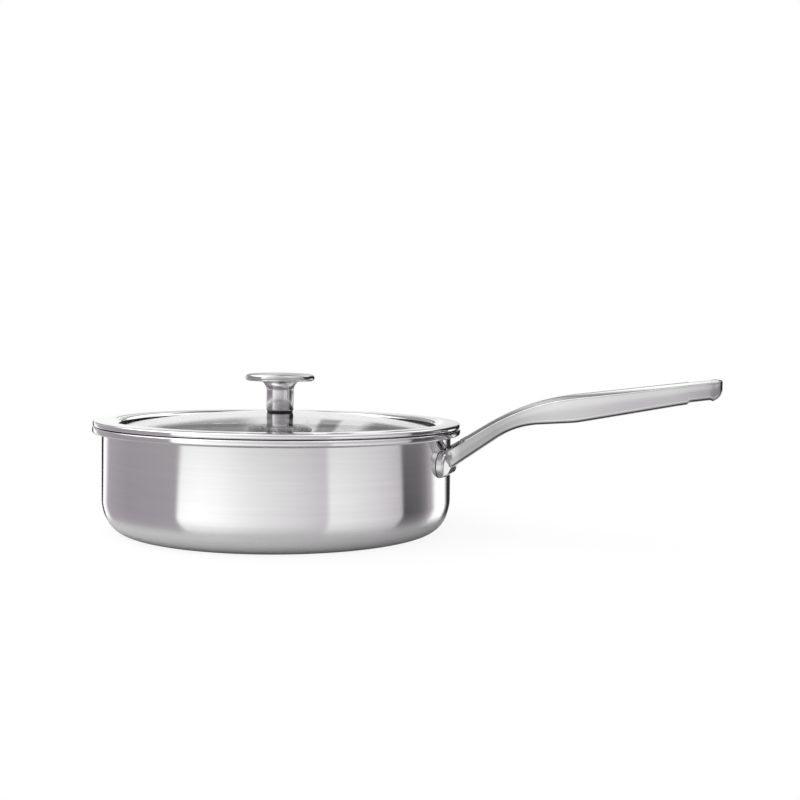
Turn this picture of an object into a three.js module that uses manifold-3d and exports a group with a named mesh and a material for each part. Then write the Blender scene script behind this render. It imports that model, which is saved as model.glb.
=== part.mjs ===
// Stainless sauté pan with one long cast handle and a knobbed glass lid. Millimetres, +Z up.
// The origin is the centre of the base's underside, and the handle points along +X.
import * as THREE from 'three';
import { mergeVertices } from 'three/addons/utils/BufferGeometryUtils.js';
import Module from 'manifold-3d';

const wasm = await Module();
wasm.setup();

// Clad pan body
const wallRadius = 122.5; // outside of the wall
const rimHeight = 72.4; // base to the top of the lip
const outerPly = 0.5;
const corePly = 1.6;
const innerPly = 0.5;
const bondGap = 0.05; // between bonded sheets
const cornerReach = 16; // base corner, measured along the base
const cornerRise = 23; // base corner, measured up the wall
const lipOverhang = 6.4; // lip's edge beyond the wall
const lipDepth = 4.2; // height of the lip's edge
const lipEdgeRound = 1.3;
const flareRise = 2.6; // underside of the flare, wall to lip
const mouthReach = 5; // rounded mouth inside the lip, measured outwards
const mouthDepth = 5; // rounded mouth inside the lip, measured down

// Handle, measured from the middle of its foot on the wall: x outwards, z up
const footBelowRim = 22;
const footWidth = 46.8;
const footHeight = 18.4;
const footCornerRadius = 8.4;
const footFront = 6.4; // crowned front of the foot: at its middle
const footFrontAtEnds = 2.2;
const footFrontAtEdges = 3; // at its top and bottom
const footSeatGap = 0.3;
const handleReach = 179.5; // wall to tip
const crestAtWall = 10.75;
const crestBend = { x: 55.2, z: 45.6, ease: 33 };
const crestAtTip = 62.1;
const keelAtWall = -5.8;
const keelBend = { x: 47.9, z: 27.8, ease: 16 };
const keelHump = { x: 87.9, z: 31.1, ease: 4 };
const keelTail = { x: 156, z: 44.8, ease: 6 };
const keelAtTip = 48.2;
const keelRound = 2.6;
const neckWidth = 19;
const neckCrown = 3.5; // crown of the top face
const gripWidth = 25;
const gripCrown = 2.8;
const gripWidestAt = 100;
const rootFlare = 1.5; // neck widens into the foot on each side
const rootFlareLength = 7;
const tipWidth = 21.6;
const tipTaperLength = 8;
const tipTaper = 15; // width lost at the rounded tip
const tipKeelRise = 6;
const tipCrestDrop = 0.9;
const hangHoleLength = 15;
const hangHoleWidth = 8.5;
const hangHoleToTip = 13.7; // tip to the middle of the hole
const hangReliefLength = 15.2; // shallow cut under the hole
const hangReliefDepth = 1.2;

// Rivets, heads inside the pan
const rivetToFootEnd = 11.4;
const rivetShankRadius = 3;
const rivetHeadRadius = 6.2;
const rivetHeadHeight = 2;
const rivetGrip = 3.9; // shank beyond the wall, inside the foot
const rivetGap = 0.3;

// Lid band
const ringOverhang = 6; // band's edge beyond the wall
const ringHeight = 4.6; // top of the band above the lip
const ringSheet = 0.8;
const ringEdgeRound = 1.1;
const ringTopWidth = 10.1; // top, from the outer edge
const ringBevelWidth = 3.6; // sloped outer border of the top
const ringBevelDrop = 0.9;
const ringStepWidth = 2.2;
const ringStepDrop = 1.4;
const ringLipWidth = 2.8;
const ringLipDrop = 0.3;
const skirtPlay = 1.2; // between the skirt and the wall's inside
const skirtLipWidth = 3.8;

// Glass and its seal
const glassThickness = 4;
const glassRise = 8; // dome height over the band's lip
const glassHoleRadius = 6;
const sealPlay = 0.1;
const sealTop = 0.4;
const sealWall = 1;
const sealFloor = 1.4;
const sealShow = 0.6; // seal's edge inside the band's lip

// Knob and its fixing
const knobRadius = 24.5;
const knobHeight = 26.7; // stem's foot to the crown
const knobCrown = 1.2;
const knobEdge = 4.6; // thickness at the edge
const knobEdgeRound = 2;
const knobUnderSlope = 0.5;
const stemRadius = 9.6;
const stemFilletReach = 3.6;
const stemFilletDepth = 4.6;
const stemFootBevel = 0.5;
const upperGasketRadius = 9.1;
const upperGasketThickness = 1.2;
const lowerGasketRadius = 11;
const lowerGasketThickness = 1.5;
const collarPlay = 0.4; // between the collar and the hole in the glass
const washerRadius = 10;
const washerThickness = 1.2;
const lockWasherRadius = 4.6;
const lockWasherThickness = 1.2;
const lockWasherSplit = 0.9;
const screwRadius = 2.5;
const screwHeadRadius = 5.2;
const screwHeadHeight = 3;
const screwHeadRound = 1.6;
const screwSlotWidth = 1.2;
const screwSlotDepth = 1.4;
const screwEngagement = 12;
const screwGap = 0.3;

// Facets
const roundSteps = 48;
const seatSteps = 144;
const knobSteps = 32;
const smallSteps = 20;
const cornerSteps = 4;
const roundingSteps = 3;
const glassSteps = 6;
const crownSteps = 6;
const gripSteps = 16;
const tipSteps = 4;
const bendPoints = 24;
const weld = 1e-4; // vertices closer than this are one

// Finishes
const finishes = {
  brushedSteel: { color: 0xc4c4c6, roughness: 0.34, metalness: 1 },
  polishedSteel: { color: 0xd2d2d4, roughness: 0.16, metalness: 1 },
  castSteel: { color: 0xbdbdbf, roughness: 0.38, metalness: 1 },
  aluminium: { color: 0xd6d7d9, roughness: 0.45, metalness: 1 },
  glass: { color: 0xf2f6f5, roughness: 0.03, metalness: 0, transparent: true, opacity: 0.35 },
  blackSilicone: { color: 0x141414, roughness: 0.6, metalness: 0 },
};

// Shapes

function toSolid(geometry) {
  geometry.deleteAttribute('normal');
  geometry.deleteAttribute('uv');
  const merged = mergeVertices(geometry, weld);
  const corners = merged.index.array;
  const kept = [];
  for (let i = 0; i < corners.length; i += 3) {
    const [a, b, c] = corners.slice(i, i + 3);
    if (a !== b && b !== c && c !== a) kept.push(a, b, c);
  }
  return new wasm.Manifold(new wasm.Mesh({
    numProp: 3,
    vertProperties: new Float32Array(merged.attributes.position.array),
    triVerts: new Uint32Array(kept),
  }));
}

function turnedGeometry(profile, steps) {
  const points = profile.map(([radius, height]) => new THREE.Vector2(radius, height));
  return new THREE.LatheGeometry(points, steps).rotateX(Math.PI / 2);
}

function turned(profile, steps) {
  return toSolid(turnedGeometry(profile, steps));
}

function closed(profile) {
  return [...profile, profile[0]];
}

function disc(innerRadius, outerRadius, low, high) {
  const profile = [[innerRadius, low], [outerRadius, low], [outerRadius, high], [innerRadius, high]];
  return turned(closed(profile), knobSteps);
}

function upright(radius, length, steps) {
  return new THREE.CylinderGeometry(radius, radius, length, steps).rotateX(Math.PI / 2);
}

function arc(centre, reach, rise, from, to, steps) {
  const points = [];
  for (let i = 0; i <= steps; i += 1) {
    const angle = THREE.MathUtils.degToRad(from + ((to - from) * i) / steps);
    points.push([centre[0] + reach * Math.cos(angle), centre[1] + rise * Math.sin(angle)]);
  }
  return points;
}

function roundedRectangle(width, height, radius) {
  const x = width / 2 - radius;
  const y = height / 2 - radius;
  const shape = new THREE.Shape();
  shape.absarc(x, -y, radius, -Math.PI / 2, 0);
  shape.absarc(x, y, radius, 0, Math.PI / 2);
  shape.absarc(-x, y, radius, Math.PI / 2, Math.PI);
  shape.absarc(-x, -y, radius, Math.PI, 1.5 * Math.PI);
  return shape;
}

function roundEndedSlot(length, width) {
  const x = (length - width) / 2;
  const shape = new THREE.Shape();
  shape.absarc(x, 0, width / 2, -Math.PI / 2, Math.PI / 2);
  shape.absarc(-x, 0, width / 2, Math.PI / 2, 1.5 * Math.PI);
  return shape;
}

// Both sides of a bent sheet, from the line along its middle
function sheetProfile(line, thickness) {
  const left = [];
  const right = [];
  line.forEach((point, i) => {
    const here = new THREE.Vector2(...point);
    const before = new THREE.Vector2(...line[Math.max(i - 1, 0)]);
    const after = new THREE.Vector2(...line[Math.min(i + 1, line.length - 1)]);
    const into = i > 0 ? here.clone().sub(before).normalize() : after.clone().sub(here).normalize();
    const out = i < line.length - 1 ? after.sub(here).normalize() : into;
    const along = into.clone().add(out).normalize();
    const across = new THREE.Vector2(-along.y, along.x);
    const reach = thickness / 2 / along.dot(into);
    left.push(here.clone().addScaledVector(across, reach).toArray());
    right.push(here.clone().addScaledVector(across, -reach).toArray());
  });
  return [...right, ...left.reverse()];
}

// Skin over cross-sections that have the same number of points, closed by flat ends
function lofted(sections) {
  const count = sections[0].length;
  const index = [];
  for (let s = 0; s < sections.length - 1; s += 1) {
    for (let i = 0; i < count; i += 1) {
      const a = s * count + i;
      const b = s * count + ((i + 1) % count);
      index.push(a, b, b + count, a, b + count, a + count);
    }
  }
  const last = (sections.length - 1) * count;
  for (let i = 1; i < count - 1; i += 1) {
    index.push(0, i + 1, i);
    index.push(last, last + i, last + i + 1);
  }
  const geometry = new THREE.BufferGeometry();
  geometry.setAttribute('position', new THREE.Float32BufferAttribute(sections.flat(2), 3));
  geometry.setIndex(index);
  return toSolid(geometry);
}

// Height along a line of straight stretches whose bends are eased into curves
function bentLine(start, bends, end) {
  const path = new THREE.Path();
  const corners = [start, ...bends, end].map(({ x, z }) => new THREE.Vector2(x, z));
  path.moveTo(start.x, start.z);
  bends.forEach(({ ease }, i) => {
    const corner = corners[i + 1];
    const into = corners[i].clone().sub(corner).setLength(ease).add(corner);
    const out = corners[i + 2].clone().sub(corner).setLength(ease).add(corner);
    path.lineTo(into.x, into.y);
    path.quadraticCurveTo(corner.x, corner.y, out.x, out.y);
  });
  path.lineTo(end.x, end.z);
  const points = path.getPoints(bendPoints);
  return (x) => {
    const next = points.findIndex((point, i) => i > 0 && (point.x >= x || i === points.length - 1));
    const [a, b] = [points[next - 1], points[next]];
    return a.y + ((b.y - a.y) * (x - a.x)) / (b.x - a.x);
  };
}

function piece(name, solid, finish) {
  const { vertProperties, triVerts } = solid.getMesh();
  const geometry = new THREE.BufferGeometry();
  geometry.setAttribute('position', new THREE.BufferAttribute(new Float32Array(vertProperties), 3));
  geometry.setIndex(new THREE.BufferAttribute(new Uint32Array(triVerts), 1));
  geometry.computeVertexNormals();
  const mesh = new THREE.Mesh(geometry, new THREE.MeshStandardMaterial(finishes[finish]));
  mesh.name = name;
  return mesh;
}

// Pan body: three bonded sheets

const wallThickness = outerPly + bondGap + corePly + bondGap + innerPly;
const insideRadius = wallRadius - wallThickness;
const lipEdgeStart = wallRadius + lipOverhang - lipEdgeRound;
const lipUnderside = rimHeight - lipDepth;

// Base, corner and wall at a depth below the outside
function bowlLine(depth) {
  const centre = [wallRadius - cornerReach, cornerRise];
  return [[0, depth], ...arc(centre, cornerReach - depth, cornerRise - depth, -90, 0, cornerSteps)];
}

// Underside of the flare and the rounded lip edge, at a depth below the outside
function flareLine(depth) {
  const centre = [lipEdgeStart, lipUnderside - flareRise];
  const reach = lipEdgeStart - wallRadius + depth;
  const round = lipEdgeRound - depth;
  return [
    ...arc(centre, reach, flareRise + depth, 180, 90, roundingSteps),
    ...arc([lipEdgeStart, lipUnderside + lipEdgeRound], round, round, -45, 0, 1),
    ...arc([lipEdgeStart, rimHeight - lipEdgeRound], round, round, 0, 90, 2),
  ];
}

// Rounded mouth and the lip's top, at a depth below the inside
function mouthLine(depth, end) {
  const centre = [insideRadius + mouthReach, rimHeight - mouthDepth];
  const mouth = arc(centre, mouthReach - depth, mouthDepth - depth, 180, 90, roundingSteps);
  return [...mouth, [end, rimHeight - depth]];
}

function outsideLine(depth) {
  return [...bowlLine(depth), ...flareLine(depth)];
}

function insideLine(depth, end) {
  return [...bowlLine(wallThickness - depth), ...mouthLine(depth, end)];
}

function ply(outside, inside) {
  return turned([...outside, ...inside.reverse()], roundSteps);
}

const innerPlyEnd = lipEdgeStart - bondGap;
const outerSheet = ply(outsideLine(0), outsideLine(outerPly));
const coreSheet = ply(outsideLine(outerPly + bondGap), insideLine(innerPly + bondGap, lipEdgeStart));
const innerSheet = ply(insideLine(innerPly, innerPlyEnd), insideLine(0, innerPlyEnd));

// Rivets lie along the pan's radius, one through each ear of the foot
const footCentreHeight = rimHeight - footBelowRim;
const rivetAngle = Math.asin((footWidth / 2 - rivetToFootEnd) / wallRadius);
const rivetTip = wallRadius + rivetGrip;
const rivetSeat = Math.sqrt(insideRadius ** 2 - rivetHeadRadius ** 2) - rivetGap;

function rivetHole(angle) {
  const length = rivetTip + rivetGap - rivetSeat;
  const hole = upright(rivetShankRadius + rivetGap, length, smallSteps).rotateY(Math.PI / 2);
  return toSolid(hole.translate(rivetSeat + length / 2, 0, footCentreHeight).rotateZ(angle));
}

const rivetHoles = rivetHole(-rivetAngle).add(rivetHole(rivetAngle));

const pan = new THREE.Group();
pan.add(piece('pan_outer_ply', outerSheet.subtract(rivetHoles), 'brushedSteel'));
pan.add(piece('pan_core_ply', coreSheet.subtract(rivetHoles), 'aluminium'));
pan.add(piece('pan_inner_ply', innerSheet.subtract(rivetHoles), 'brushedSteel'));

// Domed head, then the shank outwards into the foot
const rivetProfile = [
  ...arc([0, 0], rivetHeadRadius, rivetHeadHeight, -90, 0, roundingSteps),
  [rivetShankRadius, 0],
  [rivetShankRadius, rivetTip - rivetSeat],
  [0, rivetTip - rivetSeat],
];

for (const [name, side] of [['handle_rivet_near', -1], ['handle_rivet_far', 1]]) {
  const mesh = piece(name, turned(rivetProfile, smallSteps), 'castSteel');
  mesh.rotation.y = Math.PI / 2;
  mesh.position.set(rivetSeat, 0, footCentreHeight);
  const turn = new THREE.Group();
  turn.rotation.z = side * rivetAngle;
  turn.add(mesh);
  pan.add(turn);
}

// Handle: crowned neck and grip on a domed foot that hugs the wall

const crest = bentLine({ x: 0, z: crestAtWall }, [crestBend], { x: handleReach, z: crestAtTip });
const keel = bentLine({ x: 0, z: keelAtWall }, [keelBend, keelHump, keelTail], { x: handleReach, z: keelAtTip });
const tipTaperStart = handleReach - tipTaperLength;
const hangHoleAt = handleReach - hangHoleToTip;
const rootDepth = wallRadius - Math.sqrt(wallRadius ** 2 - (footWidth / 2) ** 2) + footFront;

// Elliptical rounding at the tip: 0 where it starts, 1 at the very end
function tipRounding(x) {
  const along = THREE.MathUtils.clamp((x - tipTaperStart) / tipTaperLength, 0, 1);
  return 1 - Math.sqrt(1 - along ** 2);
}

// The top face keeps its curve towards the narrower tip, so its crown gets lower there
function handleSection(x) {
  const { lerp, smoothstep } = THREE.MathUtils;
  const grip = smoothstep(x, 0, gripWidestAt);
  const broad = lerp(neckWidth, gripWidth, grip);
  const width = lerp(broad, tipWidth, smoothstep(x, gripWidestAt, tipTaperStart)) - tipTaper * tipRounding(x);
  const half = width / 2 + rootFlare * Math.max(0, 1 - Math.max(x, 0) / rootFlareLength) ** 2;
  const crown = lerp(neckCrown, gripCrown, grip) * (width / broad) ** 2;
  const top = crest(x) - tipCrestDrop * tipRounding(x);
  const low = keel(x) + tipKeelRise * tipRounding(x) + keelRound;
  const outline = arc([half - keelRound, low], keelRound, keelRound, -90, 0, 2);
  for (let i = roundingSteps; i >= -roundingSteps; i -= 1) {
    const share = i / roundingSteps;
    outline.push([half * share, top - crown * share ** 2]);
  }
  outline.push(...arc([keelRound - half, low], keelRound, keelRound, 180, 270, 2));
  return outline.map(([y, z]) => [x, y, z]);
}

function spread(from, to, steps) {
  return Array.from({ length: steps }, (_, i) => from + ((to - from) * (i + 1)) / steps);
}

const stations = [
  -rootDepth,
  0,
  ...spread(0, rootFlareLength, roundingSteps),
  ...spread(rootFlareLength, tipTaperStart, gripSteps),
  ...spread(0, Math.PI / 2, tipSteps).map((angle) => tipTaperStart + tipTaperLength * Math.sin(angle)),
];

// Round-cornered pad whose front is crowned both ways
function footBlock() {
  const pad = new THREE.ExtrudeGeometry(roundedRectangle(footWidth, footHeight, footCornerRadius), {
    depth: rootDepth + footFront,
    bevelEnabled: false,
    curveSegments: 5,
  });
  pad.rotateX(Math.PI / 2).rotateZ(Math.PI / 2).translate(-rootDepth, 0, 0);
  const fallUp = (footFront - footFrontAtEdges) / (footHeight / 2) ** 2;
  const fallAcross = (footFront - footFrontAtEnds) / (footWidth / 2) ** 2;
  const radii = [0, ...spread(0, footHeight, crownSteps)];
  const profile = [[0, -footHeight], [footHeight, -footHeight]];
  profile.push(...radii.reverse().map((radius) => [radius, footFront - fallUp * radius ** 2]));
  const crown = turnedGeometry(profile, knobSteps).rotateY(Math.PI / 2);
  return toSolid(pad).intersect(toSolid(crown.scale(1, Math.sqrt(fallUp / fallAcross), 1)));
}

function hangHole() {
  const geometry = new THREE.ExtrudeGeometry(roundEndedSlot(hangHoleLength, hangHoleWidth), {
    depth: crestAtTip,
    bevelEnabled: false,
    curveSegments: 10,
  });
  return toSolid(geometry.translate(hangHoleAt, 0, keel(hangHoleAt) - crestAtTip / 2));
}

// Shallow cut across the underside, sloped at both ends, below the hanging hole
function hangRelief() {
  const from = hangHoleAt - hangReliefLength / 2;
  const to = hangHoleAt + hangReliefLength / 2;
  const shape = new THREE.Shape();
  shape.moveTo(from - hangReliefDepth, keel(from) - hangReliefDepth);
  shape.lineTo(to + hangReliefDepth, keel(to) - hangReliefDepth);
  shape.lineTo(to - hangReliefDepth, keel(to) + hangReliefDepth);
  shape.lineTo(from + hangReliefDepth, keel(from) + hangReliefDepth);
  const geometry = new THREE.ExtrudeGeometry(shape, { depth: 2 * gripWidth, bevelEnabled: false });
  return toSolid(geometry.rotateX(Math.PI / 2).translate(0, gripWidth, 0));
}

const handleSolid = lofted(stations.map(handleSection))
  .add(footBlock())
  .subtract(hangHole())
  .subtract(hangRelief())
  .translate(wallRadius, 0, footCentreHeight)
  .subtract(toSolid(upright(wallRadius + footSeatGap, 2 * rimHeight, seatSteps)))
  .subtract(rivetHoles);
pan.add(piece('handle', handleSolid, 'castSteel'));

// Glass: a shallow dome whose edge lies under the band's lip

const lid = new THREE.Group();
const ringRadius = wallRadius + ringOverhang;
const ringTop = rimHeight + ringHeight;
const ringTopInner = ringRadius - ringTopWidth;
const ringStepRadius = ringTopInner - ringStepWidth;
const ringBevelLow = ringTop - ringBevelDrop;
const ringStepTop = ringTop - ringStepDrop;
const ringLipRadius = ringStepRadius - ringLipWidth;
const ringLipTop = ringStepTop - ringLipDrop;
const skirtRadius = insideRadius - skirtPlay;
const sealOuter = skirtRadius - ringSheet - sealPlay;

const glassRadius = sealOuter - sealWall - sealPlay;
const glassApex = ringLipTop - ringSheet - sealPlay - sealTop - sealPlay + glassRise;
const domeRadius = (ringLipRadius ** 2 + glassRise ** 2) / (2 * glassRise);

function glassTopAt(radius) {
  return glassApex - domeRadius + Math.sqrt(domeRadius ** 2 - radius ** 2);
}

function glassUnderAt(radius) {
  return glassTopAt(radius) - glassThickness;
}

const glassRadii = [glassHoleRadius, ...spread(glassHoleRadius, glassRadius, glassSteps)];
const glassProfile = [
  ...glassRadii.map((radius) => [radius, glassUnderAt(radius)]),
  ...glassRadii.map((radius) => [radius, glassTopAt(radius)]).reverse(),
];
lid.add(piece('lid_glass', turned(closed(glassProfile), roundSteps), 'glass'));

// Seal: a channel round the glass edge, between the band's lip and the skirt's lip

const sealInner = ringLipRadius - sealShow;
const sealSeat = glassRadius + sealPlay;
const sealLow = glassUnderAt(glassRadius) - sealPlay - sealFloor;
const sealProfile = [
  [ringLipRadius, sealLow],
  [sealOuter, sealLow],
  [sealOuter, glassTopAt(glassRadius) + sealPlay + sealTop],
  [sealInner, glassTopAt(sealInner) + sealPlay + sealTop],
  [sealInner, glassTopAt(sealInner) + sealPlay],
  [sealSeat, glassTopAt(glassRadius) + sealPlay],
  [sealSeat, glassUnderAt(glassRadius) - sealPlay],
  [ringLipRadius, glassUnderAt(glassRadius) - sealPlay],
];
lid.add(piece('lid_seal', turned(closed(sealProfile), roundSteps), 'blackSilicone'));

// Band: one bent sheet, from its lip on the glass over the top and the edge to the skirt inside the pan

const sheetHalf = ringSheet / 2;
const skirtLow = sealLow - sealPlay - ringSheet;
const ringLine = [
  [ringLipRadius, ringLipTop - sheetHalf],
  [ringStepRadius, ringStepTop - sheetHalf],
  [ringTopInner, ringTop - sheetHalf],
  [ringRadius - ringBevelWidth, ringTop - sheetHalf],
  [ringRadius - ringEdgeRound, ringBevelLow - sheetHalf],
  [ringRadius - sheetHalf, ringBevelLow - ringEdgeRound],
  [ringRadius - sheetHalf, rimHeight + ringEdgeRound],
  [ringRadius - ringEdgeRound, rimHeight + sheetHalf],
  [skirtRadius - sheetHalf, rimHeight + sheetHalf],
  [skirtRadius - sheetHalf, skirtLow + sheetHalf],
  [skirtRadius - sheetHalf - skirtLipWidth, skirtLow + sheetHalf],
];
lid.add(piece('lid_ring', turned(closed(sheetProfile(ringLine, ringSheet)), roundSteps), 'polishedSteel'));

// Knob: a mushroom with a rounded edge, filleted into its stem, bored from below for the screw

const stemFoot = glassApex + upperGasketThickness;
const knobTop = stemFoot + knobHeight;
const knobEdgeTop = knobTop - knobCrown;
const knobEdgeLow = knobEdgeTop - knobEdge;
const knobRoundAt = knobRadius - knobEdgeRound;
const filletCentre = [stemRadius + stemFilletReach, knobEdgeLow - knobUnderSlope - stemFilletDepth];
const boreRadius = screwRadius + screwGap;
const boreEnd = stemFoot + screwEngagement + screwGap;
const knobProfile = [
  [boreRadius, stemFoot],
  [stemRadius - stemFootBevel, stemFoot],
  [stemRadius, stemFoot + stemFootBevel],
  ...arc(filletCentre, stemFilletReach, stemFilletDepth, 180, 90, roundingSteps),
  ...arc([knobRoundAt, knobEdgeLow + knobEdgeRound], knobEdgeRound, knobEdgeRound, -90, 0, roundingSteps),
  ...arc([knobRoundAt, knobEdgeTop - knobEdgeRound], knobEdgeRound, knobEdgeRound, 0, 90, roundingSteps),
  ...arc([0, knobEdgeTop], knobRoundAt, knobCrown, 0, 90, roundingSteps).slice(1),
  [0, boreEnd],
  [boreRadius, boreEnd],
];
lid.add(piece('knob', turned(closed(knobProfile), knobSteps), 'castSteel'));

// Fixing, from the knob down: gasket, glass, gasket with a collar in the glass, washers and screw

const upperGasket = disc(boreRadius, upperGasketRadius, glassApex, stemFoot);
lid.add(piece('knob_upper_gasket', upperGasket, 'blackSilicone'));

const collarRadius = glassHoleRadius - collarPlay;
const collarTop = glassTopAt(glassHoleRadius) - sealPlay;
const lowerGasketTop = glassUnderAt(lowerGasketRadius) - sealPlay;
const lowerGasketLow = lowerGasketTop - lowerGasketThickness;
const lowerGasketProfile = [
  [boreRadius, lowerGasketLow],
  [lowerGasketRadius, lowerGasketLow],
  [lowerGasketRadius, lowerGasketTop],
  [collarRadius, lowerGasketTop],
  [collarRadius, collarTop],
  [boreRadius, collarTop],
];
lid.add(piece('knob_lower_gasket', turned(closed(lowerGasketProfile), knobSteps), 'blackSilicone'));

const washerLow = lowerGasketLow - washerThickness;
const washer = disc(boreRadius, washerRadius, washerLow, lowerGasketLow);
lid.add(piece('knob_washer', washer, 'brushedSteel'));

const lockWasherLow = washerLow - lockWasherThickness;
const split = new THREE.BoxGeometry(2 * lockWasherRadius, lockWasherSplit, 2 * lockWasherThickness);
split.translate(lockWasherRadius, 0, washerLow - lockWasherThickness / 2);
const lockWasher = disc(boreRadius, lockWasherRadius, lockWasherLow, washerLow).subtract(toSolid(split));
lid.add(piece('knob_lock_washer', lockWasher, 'brushedSteel'));

const screwLow = lockWasherLow - screwHeadHeight;
const slot = new THREE.BoxGeometry(3 * screwHeadRadius, screwSlotWidth, 2 * screwSlotDepth);
slot.translate(0, 0, screwLow);
const headCorner = [screwHeadRadius - screwHeadRound, screwLow + screwHeadRound];
const screwProfile = [
  [0, screwLow],
  ...arc(headCorner, screwHeadRound, screwHeadRound, -90, 0, roundingSteps),
  [screwHeadRadius, lockWasherLow],
  [screwRadius, lockWasherLow],
  [screwRadius, stemFoot + screwEngagement],
  [0, stemFoot + screwEngagement],
];
lid.add(piece('knob_screw', turned(screwProfile, smallSteps).subtract(toSolid(slot)), 'brushedSteel'));

const sautePan = new THREE.Group();
sautePan.add(pan, lid);

export default sautePan;
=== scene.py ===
from math import asin, atan2, cos, hypot, pi, radians, sin, sqrt, tan

import bmesh
import bpy
import numpy as np
from mathutils import Matrix, Vector
from mathutils.bvhtree import BVHTree


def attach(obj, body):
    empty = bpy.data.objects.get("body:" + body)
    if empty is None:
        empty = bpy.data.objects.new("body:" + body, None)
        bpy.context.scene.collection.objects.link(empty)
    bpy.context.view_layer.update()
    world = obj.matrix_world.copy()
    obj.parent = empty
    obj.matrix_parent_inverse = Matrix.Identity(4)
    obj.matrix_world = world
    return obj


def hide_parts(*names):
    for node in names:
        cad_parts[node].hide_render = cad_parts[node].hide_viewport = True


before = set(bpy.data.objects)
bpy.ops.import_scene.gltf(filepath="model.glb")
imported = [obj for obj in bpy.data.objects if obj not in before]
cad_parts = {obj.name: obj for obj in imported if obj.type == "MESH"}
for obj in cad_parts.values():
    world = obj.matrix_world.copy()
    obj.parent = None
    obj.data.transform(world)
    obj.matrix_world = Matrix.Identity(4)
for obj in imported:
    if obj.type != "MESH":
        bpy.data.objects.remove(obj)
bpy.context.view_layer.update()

mm = 0.001
scene = bpy.context.scene
scene.view_settings.view_transform = "Standard"
print("frame loaded:", len(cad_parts), "solids")


# profiles and meshes, profiles in millimetres as (radius, height)

def arc(centre, reach, rise, start, end, steps):
    angles = [radians(start + (end - start) * i / steps) for i in range(steps + 1)]
    return [(centre[0] + reach * cos(a), centre[1] + rise * sin(a)) for a in angles]


def roundCorners(corners, steps=5):
    points = []
    for i, (r, z, radius) in enumerate(corners):
        if radius == 0:
            points.append((r, z))
            continue
        here = Vector((r, z))
        toBefore = (Vector(corners[i - 1][:2]) - here).normalized()
        toAfter = (Vector(corners[(i + 1) % len(corners)][:2]) - here).normalized()
        half = toBefore.angle(toAfter) / 2
        centre = here + (toBefore + toAfter).normalized() * radius / sin(half)
        begin = here + toBefore * radius / tan(half) - centre
        finish = here + toAfter * radius / tan(half) - centre
        first = atan2(begin.y, begin.x)
        sweep = (atan2(finish.y, finish.x) - first + pi) % (2 * pi) - pi
        for k in range(steps + 1):
            a = first + sweep * k / steps
            points.append((centre.x + radius * cos(a), centre.y + radius * sin(a)))
    return points


def sheetProfile(line, thickness):
    left, right = [], []
    for i, point in enumerate(line):
        before = Vector(line[max(i - 1, 0)])
        after = Vector(line[min(i + 1, len(line) - 1)])
        along = (after - before).normalized()
        across = Vector((-along.y, along.x)) * thickness / 2
        left.append(tuple(Vector(point) + across))
        right.append(tuple(Vector(point) - across))
    return right + left[::-1]


def closedMesh(name, verts, faces):
    mesh = bpy.data.meshes.new(name)
    mesh.from_pydata(verts, [], faces)
    work = bmesh.new()
    work.from_mesh(mesh)
    bmesh.ops.remove_doubles(work, verts=work.verts, dist=1e-7)
    bmesh.ops.recalc_face_normals(work, faces=work.faces)
    work.to_mesh(mesh)
    work.free()
    return mesh


def lathe(name, profile, steps, loop=False):
    verts, rings, faces = [], [], []
    turns = [(cos(2 * pi * i / steps), sin(2 * pi * i / steps)) for i in range(steps)]
    for r, z in profile:
        if r < 1e-6:
            rings.append([len(verts)] * steps)
            verts.append((0, 0, z * mm))
        else:
            rings.append(list(range(len(verts), len(verts) + steps)))
            verts += [(r * mm * c, r * mm * s, z * mm) for c, s in turns]
    pairs = list(zip(rings, rings[1:])) + ([(rings[-1], rings[0])] if loop else [])
    for a, b in pairs:
        for i in range(steps):
            j = (i + 1) % steps
            corners = list(dict.fromkeys((a[i], a[j], b[j], b[i])))
            if len(corners) > 2:
                faces.append(corners)
    return closedMesh(name, verts, faces)


def loft(name, sections):
    count = len(sections[0])
    verts = [tuple(c * mm for c in p) for section in sections for p in section]
    faces = []
    for s in range(len(sections) - 1):
        for i in range(count):
            j = (i + 1) % count
            faces.append((s * count + i, s * count + j, (s + 1) * count + j, (s + 1) * count + i))
    faces.append(list(range(count)))
    faces.append([len(verts) - count + i for i in range(count)])
    return closedMesh(name, verts, faces)


def withModifiers(mesh, *steps):
    holder = bpy.data.objects.new("holder", mesh)
    scene.collection.objects.link(holder)
    for kind, settings in steps:
        modifier = holder.modifiers.new(kind, kind)
        for key, value in settings.items():
            setattr(modifier, key, value)
    graph = bpy.context.evaluated_depsgraph_get()
    result = bpy.data.meshes.new_from_object(holder.evaluated_get(graph))
    bpy.data.objects.remove(holder)
    return result


def cut(mesh, cutterMesh):
    cutter = bpy.data.objects.new("cutter", cutterMesh)
    scene.collection.objects.link(cutter)
    result = withModifiers(mesh, ("BOOLEAN", {"operation": "DIFFERENCE", "object": cutter, "solver": "EXACT"}))
    bpy.data.objects.remove(cutter)
    return result


def place(name, mesh, material, body, nodes=(), sharp=38, matrix=None):
    mesh.name = name
    mesh.shade_smooth()
    mesh.set_sharp_from_angle(angle=radians(sharp))
    mesh.materials.clear()
    mesh.materials.append(material)
    piece = bpy.data.objects.new(name, mesh)
    scene.collection.objects.link(piece)
    if matrix:
        piece.matrix_world = matrix
    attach(piece, body)
    if nodes:
        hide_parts(*nodes)
    return piece


# shader helpers

lineDepth, grainDepth = 0.02 * mm, 0.03 * mm  # of the bumps


def node(tree, kind, inputs=None, **settings):
    made = tree.nodes.new("ShaderNode" + kind)
    for key, value in settings.items():
        setattr(made, key, value)
    for key, value in (inputs or {}).items():
        if isinstance(value, bpy.types.NodeSocket):
            tree.links.new(value, made.inputs[key])
        else:
            made.inputs[key].default_value = value
    return made


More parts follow.
